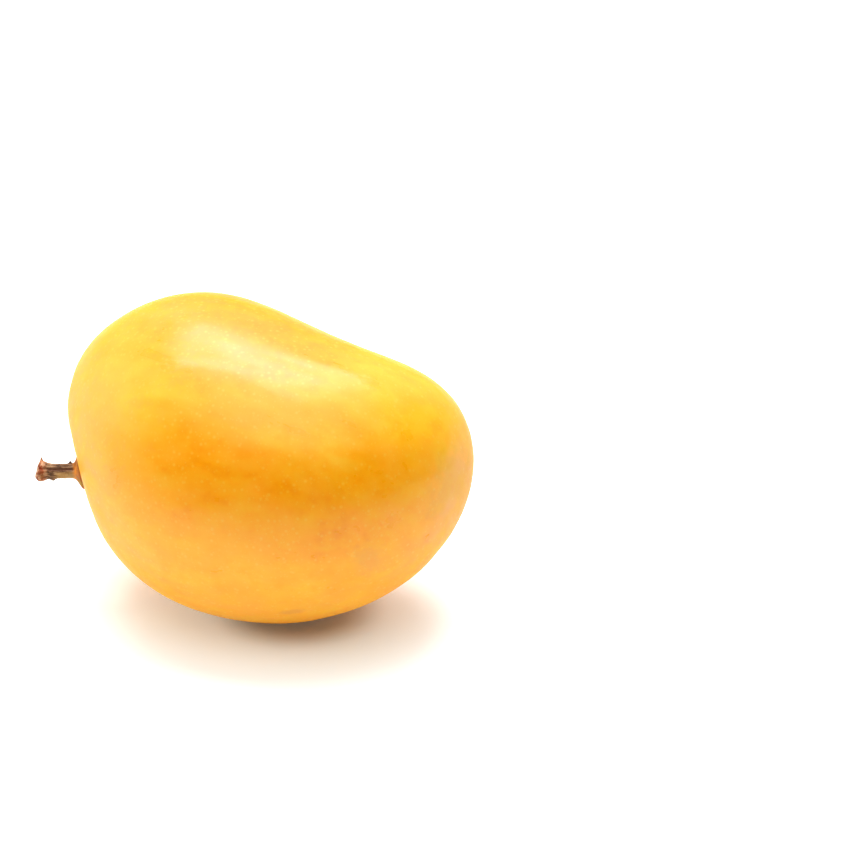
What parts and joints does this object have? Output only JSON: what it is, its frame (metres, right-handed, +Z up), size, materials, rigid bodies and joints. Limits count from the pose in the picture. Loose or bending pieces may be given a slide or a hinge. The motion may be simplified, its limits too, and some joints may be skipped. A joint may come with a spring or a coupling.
{
  "type": "mango",
  "caption": "Ripe golden mango lying on its side, full at the stalk end and hollowed before the tip, with a short broken stalk stub in a flared collar.",
  "frame": {"origin": "middle of the small flat spot that the fruit rests on", "axes": "+X along the fruit from the stalk to the tip, +Z up"},
  "size_m": [0.1096, 0.0787, 0.0788],
  "materials": {
    "skin": "ripe mango skin: golden orange, yellow towards the top, waxy satin sheen, fine pale pores",
    "bark": "dry brown stalk bark with dark furrows, orange-brown collar and a reddish broken end"
  },
  "bodies": {
    "root": {"fruit": "skin", "stalk": "bark"}
  },
  "joints": []
}
